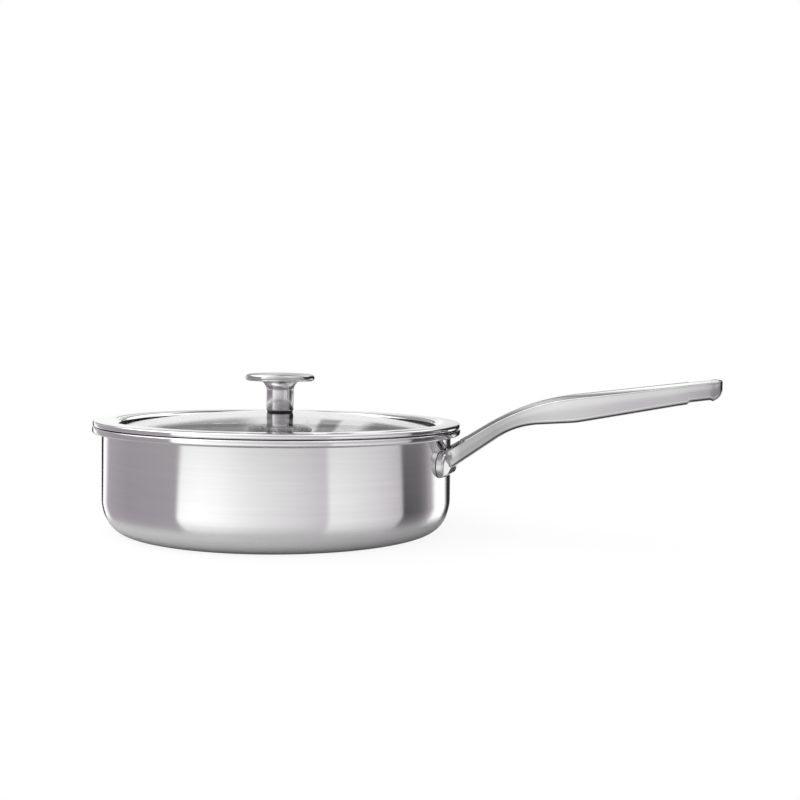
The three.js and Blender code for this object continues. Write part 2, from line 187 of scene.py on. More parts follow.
def newGroup(name, inputs, outputs):
    group = bpy.data.node_groups.new(name, "ShaderNodeTree")
    for label, value in inputs.items():
        socket = group.interface.new_socket(label, in_out="INPUT", socket_type="NodeSocketFloat")
        socket.default_value = value
    for label in outputs:
        group.interface.new_socket(label, in_out="OUTPUT", socket_type="NodeSocketFloat")
    return group, group.nodes.new("NodeGroupInput"), group.nodes.new("NodeGroupOutput")


def turnedLinesGroup():
    group, given, result = newGroup("turnedLines", {"Fineness": 2600, "Drift": 1.3}, ["Lines", "Bands"])
    bandShare = 0.11  # bands are coarser than lines by this
    place3d = node(group, "TexCoord").outputs["Object"]
    flat = node(group, "VectorMath", {0: place3d, 1: (1, 1, 0)}, operation="MULTIPLY").outputs[0]
    radius = node(group, "VectorMath", {0: flat}, operation="LENGTH").outputs["Value"]
    around = node(group, "VectorMath", {0: flat}, operation="NORMALIZE").outputs[0]
    around = node(group, "VectorMath", {0: around, "Scale": given.outputs["Drift"]}, operation="SCALE").outputs[0]
    height = node(group, "SeparateXYZ", {0: place3d}).outputs["Z"]
    across = node(group, "Math", {0: height, 1: radius}, operation="ADD").outputs[0]
    for label, share in (("Lines", 1), ("Bands", bandShare)):
        fine = node(group, "Math", {0: across, 1: given.outputs["Fineness"]}, operation="MULTIPLY").outputs[0]
        fine = node(group, "Math", {0: fine, 1: share}, operation="MULTIPLY").outputs[0]
        lift = node(group, "CombineXYZ", {"Z": fine}).outputs[0]
        where = node(group, "VectorMath", {0: around, 1: lift}, operation="ADD").outputs[0]
        noise = node(group, "TexNoise", {"Vector": where, "Scale": 1, "Detail": 3, "Roughness": 0.6})
        group.links.new(noise.outputs[0], result.inputs[label])
    return group


def handlingGroup():
    group, given, result = newGroup("handlingMarks", {"Cloud Scale": 14, "Grain Scale": 2200}, ["Cloud", "Grain"])
    place3d = node(group, "TexCoord").outputs["Object"]
    for label in ("Cloud", "Grain"):
        noise = node(group, "TexNoise", {
            "Vector": place3d, "Scale": given.outputs[label + " Scale"], "Detail": 4, "Roughness": 0.55,
        })
        group.links.new(noise.outputs[0], result.inputs[label])
    return group


turnedLines = turnedLinesGroup()
handlingMarks = handlingGroup()


def newMaterial(name):
    material = bpy.data.materials.new(name)
    material.use_nodes = True
    tree = material.node_tree
    return material, tree, tree.nodes["Principled BSDF"]


def spread(tree, value, low, high):
    return node(tree, "MapRange", {0: value, 1: 0.25, 2: 0.75, 3: low, 4: high}).outputs[0]


def useGroup(tree, group, values):
    made = tree.nodes.new("ShaderNodeGroup")
    made.node_tree = group
    for key, value in values.items():
        made.inputs[key].default_value = value
    return made


def tone(tree, mask, dark, light):
    mixed = node(tree, "Mix", {0: mask, 6: (*dark, 1), 7: (*light, 1)}, data_type="RGBA")
    return mixed.outputs[2]


def fillRamp(ramp, stops):
    elements = ramp.color_ramp.elements
    while len(elements) < len(stops):
        elements.new(0.5)
    for element, (position, colour) in zip(elements, stops):
        element.position = position
        element.color = colour


def objectAxis(tree, axis):
    return node(tree, "SeparateXYZ", {0: node(tree, "TexCoord").outputs["Object"]}).outputs[axis]


def addBump(tree, shader, height, strength, depth):
    bump = node(tree, "Bump", {"Height": height, "Strength": strength, "Distance": depth})
    tree.links.new(bump.outputs[0], shader.inputs["Normal"])


def brushedSteel(name, finish):
    material, tree, shader = newMaterial(name)
    lines = useGroup(tree, turnedLines, {"Fineness": finish["fineness"], "Drift": finish["drift"]})
    marks = useGroup(tree, handlingMarks, {"Cloud Scale": finish["cloudScale"]})
    mask = node(tree, "Math", {
        0: lines.outputs["Bands"], 1: marks.outputs["Cloud"], 2: 0.25,  # keeps the middle at a half
    }, operation="MULTIPLY_ADD").outputs[0]
    tree.links.new(tone(tree, mask, finish["dark"], finish["light"]), shader.inputs["Base Color"])
    rough = spread(tree, lines.outputs["Lines"], finish["smooth"], finish["rough"])
    if "dullAbove" in finish:  # matt from this height up
        low, high, dull = finish["dullAbove"]
        extra = node(tree, "MapRange", {0: objectAxis(tree, "Z"), 1: low, 2: high, 3: 0, 4: dull}).outputs[0]
        rough = node(tree, "Math", {0: rough, 1: extra}, operation="ADD").outputs[0]
    tree.links.new(rough, shader.inputs["Roughness"])
    addBump(tree, shader, lines.outputs["Lines"], finish["bump"], lineDepth)
    shader.inputs["Metallic"].default_value = 1
    if finish["stretch"]:
        shader.inputs["Anisotropic"].default_value = finish["stretch"]
        shader.inputs["Anisotropic Rotation"].default_value = 0.25  # a quarter turn, across the lines
        tangent = node(tree, "Tangent", direction_type="RADIAL", axis="Z")
        tree.links.new(tangent.outputs[0], shader.inputs["Tangent"])
    return material


# multiplies a colour by a grey ramp along x: painted shade
def shadedAlong(tree, colour, paintedShade):
    first, last = paintedShade[0][0], paintedShade[-1][0]
    along = node(tree, "MapRange", {0: objectAxis(tree, "X"), 1: first, 2: last}).outputs[0]
    ramp = node(tree, "ValToRGB", {0: along})
    fillRamp(ramp, [((x - first) / (last - first), (shade, shade, shade, 1)) for x, shade in paintedShade])
    mixed = node(tree, "Mix", {0: 1, 6: colour, 7: ramp.outputs[0]}, data_type="RGBA", blend_type="MULTIPLY")
    return mixed.outputs[2]


def grainedSurface(name, finish, metallic):
    material, tree, shader = newMaterial(name)
    scales = {"Cloud Scale": finish["cloudScale"], "Grain Scale": finish["grainScale"]}
    marks = useGroup(tree, handlingMarks, scales)
    colour = tone(tree, marks.outputs["Cloud"], finish["dark"], finish["light"])
    # painted shade: the base colour darkens along x on the neck and the tip
    if "paintedShade" in finish:
        colour = shadedAlong(tree, colour, finish["paintedShade"])
    tree.links.new(colour, shader.inputs["Base Color"])
    rough = spread(tree, marks.outputs["Grain"], finish["smooth"], finish["rough"])
    tree.links.new(rough, shader.inputs["Roughness"])
    addBump(tree, shader, marks.outputs["Grain"], finish["bump"], grainDepth)
    shader.inputs["Metallic"].default_value = metallic
    return material


def satinSteel(name, finish):
    return grainedSurface(name, finish, 1)


def silicone(name, finish):
    return grainedSurface(name, finish, 0)


def clearGlass(name, finish):
    material, tree, shader = newMaterial(name)
    marks = useGroup(tree, handlingMarks, {"Cloud Scale": finish["cloudScale"]})
    tree.links.new(tone(tree, marks.outputs["Cloud"], finish["dark"], finish["light"]), shader.inputs["Base Color"])
    rough = spread(tree, marks.outputs["Cloud"], finish["smooth"], finish["rough"])
    tree.links.new(rough, shader.inputs["Roughness"])
    shader.inputs["IOR"].default_value = finish["ior"]
    shader.inputs["Transmission Weight"].default_value = 1
    return material


# clad pan body: outer steel, aluminium core, inner steel

panShape = {
    "wallRadius": 122.5, "rimHeight": 72.4, "cornerReach": 16, "cornerRise": 23,
    "lipOverhang": 6.4, "lipDepth": 4.2, "lipEdgeRound": 1.3, "flareRise": 0.9,
    "mouthReach": 5, "mouthDepth": 5, "outerPly": 0.5, "corePly": 1.6, "innerPly": 0.5, "bondGap": 0.05,
    "cornerSteps": 20, "flareSteps": 12, "edgeSteps": 6, "mouthSteps": 10, "steps": 240,
}
wallFinish = {
    "dark": (0.765, 0.756, 0.765), "light": (0.935, 0.93, 0.935), "smooth": 0.11, "rough": 0.15, "stretch": 1.0,
    "fineness": 2600, "drift": 1.2, "cloudScale": 9, "bump": 0.06,
}
insideFinish = {
    **wallFinish, "dark": (0.74, 0.735, 0.74), "light": (0.84, 0.835, 0.84), "smooth": 0.14, "rough": 0.2,
}
coreFinish = {
    **wallFinish, "dark": (0.78, 0.79, 0.80), "light": (0.86, 0.87, 0.88), "smooth": 0.4, "rough": 0.5,
    "stretch": 0,
}

wallThickness = sum(panShape[k] for k in ("outerPly", "corePly", "innerPly")) + 2 * panShape["bondGap"]
insideRadius = panShape["wallRadius"] - wallThickness
lipEdgeStart = panShape["wallRadius"] + panShape["lipOverhang"] - panShape["lipEdgeRound"]


def bowlLine(depth):
    s = panShape
    centre = (s["wallRadius"] - s["cornerReach"], s["cornerRise"])
    corner = arc(centre, s["cornerReach"] - depth, s["cornerRise"] - depth, -90, 0, s["cornerSteps"])
    return [(0, depth)] + corner


def outsideLine(depth):
    s = panShape
    low = s["rimHeight"] - s["lipDepth"]
    edge = s["lipEdgeRound"] - depth
    flareReach = lipEdgeStart - s["wallRadius"] + depth
    flareMiddle = (lipEdgeStart, low - s["flareRise"])
    flare = arc(flareMiddle, flareReach, s["flareRise"] + depth, 180, 90, s["flareSteps"])
    under = arc((lipEdgeStart, low + s["lipEdgeRound"]), edge, edge, -90, 0, s["edgeSteps"])
    over = arc((lipEdgeStart, s["rimHeight"] - s["lipEdgeRound"]), edge, edge, 0, 90, s["edgeSteps"])
    return bowlLine(depth) + flare + under[1:] + over


def insideLine(depth, end):
    s = panShape
    centre = (insideRadius + s["mouthReach"], s["rimHeight"] - s["mouthDepth"])
    mouth = arc(centre, s["mouthReach"] - depth, s["mouthDepth"] - depth, 180, 90, s["mouthSteps"])
    return bowlLine(wallThickness - depth) + mouth + [(end, s["rimHeight"] - depth)]


def makePan():
    s = panShape
    coreOut = s["outerPly"] + s["bondGap"]
    coreIn = s["innerPly"] + s["bondGap"]
    innerEnd = lipEdgeStart - s["bondGap"]
    outer = outsideLine(0) + outsideLine(s["outerPly"])[::-1]
    core = outsideLine(coreOut) + insideLine(coreIn, lipEdgeStart)[::-1]
    inner = insideLine(s["innerPly"], innerEnd) + insideLine(0, innerEnd)[::-1]
    for name, profile, material, solid in (
        ("panOuterPly", outer, brushedSteel("brushedWall", wallFinish), "pan_outer_ply"),
        ("panCorePly", core, brushedSteel("coreAluminium", coreFinish), "pan_core_ply"),
        ("panInnerPly", inner, brushedSteel("brushedInside", insideFinish), "pan_inner_ply"),
    ):
        place(name, lathe(name, profile, s["steps"]), material, "pan", [solid])


makePan()
print("pan body made")


# volume marks etched on the inside wall

markShape = {
    "text": "2.5", "size": 5.6, "bold": 0.34, "lift": 0.03, "places": [(102.0, 61.2), (109.0, 57.6)],
    "tick": (7.0, 0.7), "tickDrop": 2.0, "splitOver": 1.5, "splitCuts": 4,
}
markFinish = {
    "dark": (0.02, 0.02, 0.02), "light": (0.04, 0.04, 0.04), "smooth": 0.5, "rough": 0.7,
    "cloudScale": 60, "grainScale": 4000, "bump": 0.2,
}


def makeMarks():
    s = markShape
    curve = bpy.data.curves.new("marks", "FONT")
    curve.body = s["text"]
    curve.size = s["size"]
    curve.offset = s["bold"]
    curve.align_x = "CENTER"
    holder = bpy.data.objects.new("marks", curve)
    scene.collection.objects.link(holder)
    flat = bpy.data.meshes.new_from_object(holder.evaluated_get(bpy.context.evaluated_depsgraph_get()))
    bpy.data.objects.remove(holder)
    work = bmesh.new()
    for angle, height in s["places"]:
        piece = bmesh.new()
        piece.from_mesh(flat)
        length, thickness = s["tick"]
        low, high = -s["tickDrop"], thickness - s["tickDrop"]
        corners = [(-length / 2, low), (length / 2, low), (length / 2, high), (-length / 2, high)]
        piece.faces.new([piece.verts.new((x, y, 0)) for x, y in corners])
        bmesh.ops.triangulate(piece, faces=piece.faces)
        longEdges = [e for e in piece.edges if e.calc_length() > s["splitOver"]]
        bmesh.ops.subdivide_edges(piece, edges=longEdges, cuts=s["splitCuts"])  # to follow the wall
        radius = insideRadius - s["lift"]
        for vert in piece.verts:
            turn = radians(angle) - vert.co.x / radius
            vert.co = Vector((radius * cos(turn), radius * sin(turn), height + vert.co.y)) * mm
        part = bpy.data.meshes.new("part")
        piece.to_mesh(part)
        piece.free()
        work.from_mesh(part)
    mesh = bpy.data.meshes.new("volumeMarks")
    work.to_mesh(mesh)
    work.free()
    place("volumeMarks", mesh, satinSteel("etchedMarks", markFinish), "pan")


makeMarks()
print("volume marks made")


# rivets, heads inside the pan

rivetShape = {
    "offset": 12, "shank": 3, "headRadius": 6.2, "headHeight": 2, "grip": 3.9, "gap": 0.3, "height": 50.4,
    "brimAngle": -6, "neckBevel": 0.5, "endRound": 0.6, "steps": 64,
}
rivetFinish = {
    "dark": (0.7, 0.7, 0.71), "light": (0.82, 0.82, 0.83), "smooth": 0.22, "rough": 0.32,
    "cloudScale": 60, "grainScale": 3000, "bump": 0.1,
}


def makeRivets():
    s = rivetShape
    seat = sqrt(insideRadius ** 2 - s["headRadius"] ** 2) - s["gap"]
    length = panShape["wallRadius"] + s["grip"] - seat
    bevel = s["neckBevel"]
    profile = arc((0, 0), s["headRadius"], s["headHeight"], -90, s["brimAngle"], 10)
    profile += [(s["headRadius"], 0), (s["shank"] + bevel, 0), (s["shank"], bevel)]
    profile += roundCorners([(s["shank"], bevel, 0), (s["shank"], length, s["endRound"]), (0, length, 0)])[1:]
    material = satinSteel("rivetSteel", rivetFinish)
    for side, name, solid in ((-1, "rivetNear", "handle_rivet_near"), (1, "rivetFar", "handle_rivet_far")):
        turn = Matrix.Rotation(side * asin(s["offset"] / panShape["wallRadius"]), 4, "Z")
        stand = Matrix.Translation((seat * mm, 0, s["height"] * mm)) @ Matrix.Rotation(pi / 2, 4, "Y")
        place(name, lathe(name, profile, s["steps"]), material, "pan", [solid], matrix=turn @ stand)


makeRivets()
print("rivets made")


# handle: crowned grip and neck cast on a pillowed foot that hugs the wall

handleShape = {  # x outwards from the wall, z up from the foot's middle
    "footMiddle": 50.4, "footWidth": 46.8, "footHeight": 18.4, "footCorner": 8.4,
    "footFront": 5.8, "footFallAcross": 0.15, "footRidge": 3, "footFallUp": 4.5, "footFallPower": 7,
    "footLean": 0.09, "footEdgeRound": 1.5, "seatGap": 0.3, "seatHeight": 100, "seatSteps": 360,
    "reach": 179.48, "rootDepth": 9,
    "crest": [(0, 10.75, 0), (55.2, 45.6, 33), (179.5, 62.1, 0)],
    "keel": [(0, -5.8, 0), (47.9, 27.8, 16), (87.9, 31.1, 4), (156, 44.8, 6), (179.5, 48.2, 0)],
    "leadIn": 20, "bendSteps": 32,
    "keelRound": 2.6, "creaseRound": 0.8, "sideBulge": -0.2,
    "neckWidth": 19, "neckCrown": 3.5, "gripWidth": 25, "gripCrown": 2.8, "gripWidestAt": 100,
    "rootFlare": 0.6, "rootFlareLength": 5,
    "tipWidth": 21.6, "tipTaperLength": 8, "tipTaper": 15, "tipKeelRise": 6, "tipCrestDrop": 2.0,
    "holeLength": 15, "holeWidth": 8.5, "holeToTip": 13.7, "holeFlare": 0.9, "cutterSpare": 6, "cutterFlare": 2,
    "reliefLength": 15.2, "reliefDepth": 1.2,
    "stationGap": 1.5, "fineFrom": 150, "fineGap": 0.5, "tipStations": 14,
    "voxel": 0.4, "filletReach": 1.2, "filletRounds": 20, "filletFade": 1.15, "smoothShare": 0.5,
    "overallRounds": 2, "overallSmooth": 0.4,
}
handleFinish = {
    "dark": (0.62, 0.615, 0.62), "light": (0.72, 0.715, 0.72), "smooth": 0.12, "rough": 0.18,
    "cloudScale": 22, "grainScale": 2600, "bump": 0.08,
    "paintedShade": [  # along x in metres: painted shade, darker on the neck and at the tip
        (0.12, 1.0), (0.128, 1.0), (0.134, 0.6), (0.157, 0.58), (0.172, 0.76), (0.183, 0.9), (0.196, 1.0),
        (0.27, 1.0), (0.286, 0.86), (0.3, 0.68),
    ],
}


def bentLine(corners):
    s = handleShape
    points = []
    for i, (x, z, ease) in enumerate(corners):
        here = Vector((x, z))
        if not ease:
            points.append(here)
            continue
        into = here + (Vector(corners[i - 1][:2]) - here).normalized() * ease
        out = here + (Vector(corners[i + 1][:2]) - here).normalized() * ease
        for k in range(s["bendSteps"] + 1):
            t = k / s["bendSteps"]
            points.append(into * (1 - t) ** 2 + here * 2 * t * (1 - t) + out * t ** 2)
    slope = (points[1] - points[0]) / (points[1].x - points[0].x)
    points.insert(0, points[0] - slope * s["leadIn"])  # carries the line into the foot
    return [p.x for p in points], [p.y for p in points]


def smoothstep(x, low, high):
    t = min(max((x - low) / (high - low), 0), 1)
    return t * t * (3 - 2 * t)


def handleSection(x, crestLine, keelLine):
    s = handleShape
    tipStart = s["reach"] - s["tipTaperLength"]
    along = min(max((x - tipStart) / s["tipTaperLength"], 0), 1)
    tip = 1 - sqrt(1 - along ** 2)
    grip = smoothstep(x, 0, s["gripWidestAt"])
    broad = s["neckWidth"] + (s["gripWidth"] - s["neckWidth"]) * grip
    width = broad + (s["tipWidth"] - broad) * smoothstep(x, s["gripWidestAt"], tipStart) - s["tipTaper"] * tip
    crown = (s["neckCrown"] + (s["gripCrown"] - s["neckCrown"]) * grip) * (width / broad) ** 2
    half = width / 2 + s["rootFlare"] * max(0, 1 - max(x, 0) / s["rootFlareLength"]) ** 2
    fromMiddle = abs(x - (s["reach"] - s["holeToTip"]))
    relief = min(max(s["reliefLength"] / 2 - fromMiddle, 0), s["reliefDepth"])
    top = float(np.interp(x, *crestLine)) - s["tipCrestDrop"] * tip
    low = float(np.interp(x, *keelLine)) + s["tipKeelRise"] * tip + relief
    slope = Vector((-1, 2 * crown / half)).normalized()
    turn = (pi / 2 - atan2(slope.y, -slope.x)) / 2
    setback = s["creaseRound"] * tan(turn)
    kr = s["keelRound"]
    right = [((half - kr) * i / 4, low) for i in range(4)]
    right += arc((half - kr, low + kr), kr, kr, -90, 0, 6)
    sideLow, sideTop = low + kr, top - crown - setback
    for i in range(1, 8):
        t = i / 8
        right.append((half + s["sideBulge"] * (1 - (2 * t - 1) ** 2), sideLow + (sideTop - sideLow) * t))
    creaseEnd = Vector((half, top - crown)) + slope * setback
    for i in range(6):
        t = i / 5
        a, b, c = Vector((half, sideTop)), Vector((half, top - crown)), creaseEnd
        right.append(tuple(a * (1 - t) ** 2 + b * 2 * t * (1 - t) + c * t ** 2))
    for i in range(1, 9):
        y = creaseEnd.x * (1 - i / 8)
        right.append((y, top - crown * (y / half) ** 2))
    left = [(-y, z) for y, z in right[1:-1]][::-1]
    return [(x, y, z) for y, z in right + left]


def footRings():
    s = handleShape
    halfWidth, halfHeight, corner = s["footWidth"] / 2, s["footHeight"] / 2, s["footCorner"]
    outline = []
    for cy, cz, start in ((1, -1, -90), (1, 1, 0), (-1, 1, 90), (-1, -1, 180)):
        centre = (cy * (halfWidth - corner), cz * (halfHeight - corner))
        outline += arc(centre, corner, corner, start, start + 90, 14)
    edge = s["footEdgeRound"]
    inset = 1 - edge / halfHeight

    def fall(y, z):
        across = s["footFallAcross"] * (hypot(y, s["footRidge"]) - s["footRidge"])
        return across + s["footFallUp"] * abs(z / halfHeight) ** s["footFallPower"]

    def ring(share, drop):
        points = []
        for y, z in outline:
            y -= (1 - share) * y * halfHeight / max(hypot(y, z), halfHeight)
            z *= share
            points.append((s["footFront"] - fall(y, z) + s["footLean"] * z - drop, y, z))
        return points

    rings = [ring(inset * i / 8, 0) for i in range(1, 9)]
    for i in range(1, 7):
        a = pi / 2 * i / 6
        rings.append(ring(inset + (1 - inset) * sin(a), edge * (1 - cos(a))))
    rings.append([(-s["rootDepth"], y, z) for x, y, z in rings[-1]])
    return rings


def easeJoin(mesh, shells):
    s = handleShape
    count = len(mesh.vertices)
    points = np.zeros(count * 3)
    mesh.vertices.foreach_get("co", points)
    points = points.reshape(-1, 3)
    reach = s["filletReach"] * mm
    far = np.zeros(count)
    for shell in shells:
        tree = BVHTree.FromPolygons([v.co for v in shell.vertices], [p.vertices for p in shell.polygons])
        far = np.maximum(far, [tree.find_nearest(Vector(p))[3] for p in points])
    weight = np.clip(s["filletFade"] - far / reach, 0, 1)  # strongest where both shells are near
    ends = np.zeros(len(mesh.edges) * 2, dtype=np.int64)
    mesh.edges.foreach_get("vertices", ends)
    a, b = ends.reshape(-1, 2).T
    neighbours = np.maximum(np.bincount(a, minlength=count) + np.bincount(b, minlength=count), 1)
    for turn in range(s["filletRounds"]):
        least = s["overallSmooth"] if turn < s["overallRounds"] else 0
        share = np.maximum(weight, least) * s["smoothShare"]
        for axis in range(3):
            near = np.bincount(a, points[b, axis], count) + np.bincount(b, points[a, axis], count)
            points[:, axis] += share * (near / neighbours - points[:, axis])
    mesh.vertices.foreach_set("co", points.ravel())
    mesh.update()


def hangingHole(crestLine, keelLine):
    s = handleShape
    middle = s["reach"] - s["holeToTip"]
    top = float(np.interp(middle, *crestLine))
    low = float(np.interp(middle, *keelLine)) + s["reliefDepth"]
    tilt = (crestLine[1][-1] - crestLine[1][-2]) / (crestLine[0][-1] - crestLine[0][-2])
    flare = s["holeFlare"]
    levels = [(low - s["cutterSpare"], flare + s["cutterFlare"])]
    levels += [(low + flare * (1 - cos(a)), flare * (1 - sin(a))) for a in (0, pi / 6, pi / 3, pi / 2)]
    levels += [(top - flare * (1 - cos(a)), flare * (1 - sin(a))) for a in (pi / 2, pi / 3, pi / 6, 0)]
    levels += [(top + s["cutterSpare"], flare + s["cutterFlare"])]
    sections = []
    for z, grow in levels:
        half = (s["holeLength"] - s["holeWidth"]) / 2
        radius = s["holeWidth"] / 2 + grow
        outline = arc((half, 0), radius, radius, -90, 90, 16) + arc((-half, 0), radius, radius, 90, 270, 16)
        sections.append([(middle + x, y, z + x * tilt) for x, y in outline])
    return loft("hangingHole", sections)


def makeHandle():
    s = handleShape
    crestLine, keelLine = bentLine(s["crest"]), bentLine(s["keel"])
    tipStart = s["reach"] - s["tipTaperLength"]
    stations = list(np.arange(-s["rootDepth"], s["fineFrom"], s["stationGap"]))
    stations += list(np.arange(s["fineFrom"], tipStart, s["fineGap"]))
    count = s["tipStations"]
    stations += [tipStart + s["tipTaperLength"] * sin(pi / 2 * i / count) for i in range(count + 1)]
    bar = loft("bar", [handleSection(float(x), crestLine, keelLine) for x in stations])
    bar = cut(bar, hangingHole(crestLine, keelLine))
    foot = loft("foot", footRings())
    work = bmesh.new()
    work.from_mesh(bar)
    work.from_mesh(foot)
    joined = bpy.data.meshes.new("handle")
    work.to_mesh(joined)
    work.free()
    solid = withModifiers(joined, ("REMESH", {"mode": "VOXEL", "voxel_size": s["voxel"] * mm}))
    easeJoin(solid, [bar, foot])
    solid.transform(Matrix.Translation((panShape["wallRadius"] * mm, 0, s["footMiddle"] * mm)))
    seatRadius = panShape["wallRadius"] + s["seatGap"]
    seatLine = [(0, 0), (seatRadius, 0), (seatRadius, s["seatHeight"]), (0, s["seatHeight"])]
    seat = lathe("seat", seatLine, s["seatSteps"])
    solid = cut(solid, seat)
    place("castHandle", solid, satinSteel("castSatin", handleFinish), "pan", ["handle"], sharp=50)


makeHandle()
print("handle made")


# lid band: one bent sheet over the glass edge, from its lip over the top and the rim to the skirt inside the pan

ringShape = {
    "sheet": 0.8, "cornerSteps": 10, "steps": 240,
    "line": [
        (111.9, 73.4, 0), (115, 76.45, 9.3), (121.5, 76.1, 20), (128.1, 75.75, 1.0), (128.1, 73.3, 0.6),
        (118.2, 72.7, 0.9), (118.2, 65.5, 0.9), (114.4, 65.5, 0),
    ],
}
ringFinish = {
    "dark": (0.84, 0.835, 0.84), "light": (0.92, 0.915, 0.92), "smooth": 0.05, "rough": 0.09, "stretch": 0,
    "fineness": 3200, "drift": 1.0, "cloudScale": 9, "bump": 0.02,
}


def makeRing():
    s = ringShape
    profile = sheetProfile(roundCorners(s["line"], s["cornerSteps"]), s["sheet"])
    band = lathe("lidRing", profile, s["steps"], loop=True)
    place("lidRing", band, brushedSteel("polishedBand", ringFinish), "lid", ["lid_ring"])


# glass dome and the silicone channel round its edge

glassShape = {
    "holeRadius": 6, "holeRound": 0.4, "radius": 116.6, "edgeRound": 1.4, "apex": 81.9, "domeRadius": 620,
    "thickness": 4, "rings": 40, "steps": 240,
}
glassFinish = {
    "dark": (0.965, 0.972, 0.97), "light": (0.99, 0.993, 0.992), "smooth": 0.0, "rough": 0.012,
    "cloudScale": 6, "ior": 1.5,
}
sealShape = {
    "lip": 112.1, "jaw": 115, "show": 0.6, "outer": 117.7, "play": 0.1, "top": 1.1, "floor": 0.5,
    "lowRound": 0.2, "topRound": 0.15, "lipRound": 0.1,
}
siliconeFinish = {
    "dark": (0.018, 0.018, 0.019), "light": (0.035, 0.035, 0.036), "smooth": 0.5, "rough": 0.68,
    "cloudScale": 40, "grainScale": 2400, "bump": 0.15,
}


def glassTop(radius):
    s = glassShape
    return s["apex"] - s["domeRadius"] + sqrt(s["domeRadius"] ** 2 - radius ** 2)


def makeGlass():
    s = glassShape
    last = s["rings"]
    radii = [s["holeRadius"] + (s["radius"] - s["holeRadius"]) * i / last for i in range(last + 1)]
    under = [(r, glassTop(r) - s["thickness"], 0) for r in radii]
    over = [(r, glassTop(r), 0) for r in radii[::-1]]
    corners = under + over
    for i, rounding in ((0, "holeRound"), (last, "edgeRound"), (last + 1, "edgeRound"), (-1, "holeRound")):
        corners[i] = (*corners[i][:2], s[rounding])
    dome = lathe("lidGlass", roundCorners(corners), s["steps"], loop=True)
    place("lidGlass", dome, clearGlass("lidGlass", glassFinish), "lid", ["lid_glass"])


def makeSeal():
    s, g = sealShape, glassShape
    inner = s["lip"] - s["show"]
    seat = g["radius"] + s["play"]
    over = glassTop(g["radius"]) + s["play"]
    under = glassTop(g["radius"]) - g["thickness"] - s["play"]
    innerOver = glassTop(inner) + s["play"]
    floor = under - s["floor"]
    corners = [
        (s["jaw"], floor, s["lowRound"]), (s["outer"], floor, s["lowRound"]),
        (s["outer"], over + s["top"], s["topRound"]), (inner, innerOver + s["top"], s["topRound"]),
        (inner, innerOver, s["lipRound"]), (seat, over, 0), (seat, under, 0), (s["jaw"], under, s["lowRound"]),
    ]
    channel = lathe("lidSeal", roundCorners(corners), g["steps"], loop=True)
    place("lidSeal", channel, silicone("sealSilicone", siliconeFinish), "lid", ["lid_seal"])


makeRing()
makeGlass()
makeSeal()
print("lid band, glass and seal made")


# knob and its fixing through the glass

knobShape = {
    "foot": 83.1, "height": 26.7, "radius": 24.5, "crown": 1.2, "edge": 4.6, "edgeRound": 2.1, "underSlope": 0.5,
    "stemRadius": 9.6, "filletReach": 5.2, "filletDepth": 6.6, "footBevel": 0.5,
    "bore": 2.8, "boreDepth": 12.3, "boreBevel": 0.3, "boreTip": 0.9, "steps": 128,
}
knobFinish = {
    "dark": (0.58, 0.575, 0.58), "light": (0.68, 0.675, 0.68), "smooth": 0.09, "rough": 0.13, "stretch": 0.7,
    "fineness": 3600, "drift": 0.8, "cloudScale": 30, "bump": 0.06, "dullAbove": (0.1078, 0.1084, 0.25),
}
fixingShape = {
    "upperRadius": 9.1, "upperRounds": (0.3, 0.4),
    "lowerRadius": 11, "lowerThickness": 1.5, "lowerRounds": (0.5, 0.4), "collarRounds": (0.3, 0.4),
    "boreRound": 0.2, "play": 0.1, "collarPlay": 0.4,
    "washerRadius": 10, "washerThickness": 1.2, "washerRounds": (0.15, 0.35), "ringSteps": 96,
    "lockRadius": 4.6, "lockThickness": 1.2, "lockSplit": 0.9, "lockRound": 0.25, "lockSteps": 60,
    "screwRadius": 2.5, "headRadius": 5.2, "headHeight": 3, "headRound": 1.6, "slotWidth": 1.2, "slotDepth": 1.4,
    "slotSpare": 2, "engagement": 12, "threadPitch": 0.8, "threadDepth": 0.35, "endBevel": 0.5, "screwSteps": 64,
}
fixingFinish = {
    "dark": (0.62, 0.62, 0.63), "light": (0.74, 0.74, 0.75), "smooth": 0.28, "rough": 0.4, "stretch": 0,
    "fineness": 4000, "drift": 1.5, "cloudScale": 60, "bump": 0.08,
}


def makeKnob():
    s = knobShape
    top = s["foot"] + s["height"]
    edgeTop = top - s["crown"]
    edgeLow = edgeTop - s["edge"]
    rim, bevel = s["edgeRound"], s["footBevel"]
    at = s["radius"] - rim
    fillet = (s["stemRadius"] + s["filletReach"], edgeLow - s["underSlope"] - s["filletDepth"])
    bored = s["foot"] + s["boreDepth"]
    profile = [(s["bore"], s["foot"] + s["boreBevel"]), (s["bore"] + s["boreBevel"], s["foot"])]
    profile += arc((s["stemRadius"] - bevel, s["foot"] + bevel), bevel, bevel, -90, 0, 4)
    profile += arc(fillet, s["filletReach"], s["filletDepth"], 180, 90, 12)
    profile += arc((at, edgeLow + rim), rim, rim, -90, 0, 8)
    profile += arc((at, edgeTop - rim), rim, rim, 0, 90, 8)
    profile += arc((0, edgeTop), at, s["crown"], 0, 90, 16)[1:-1]
    profile += [(0, top), (0, bored + s["boreTip"]), (s["bore"], bored)]
    mesh = lathe("turnedKnob", profile, s["steps"], loop=True)
    place("turnedKnob", mesh, brushedSteel("turnedKnob", knobFinish), "lid", ["knob"], sharp=50)


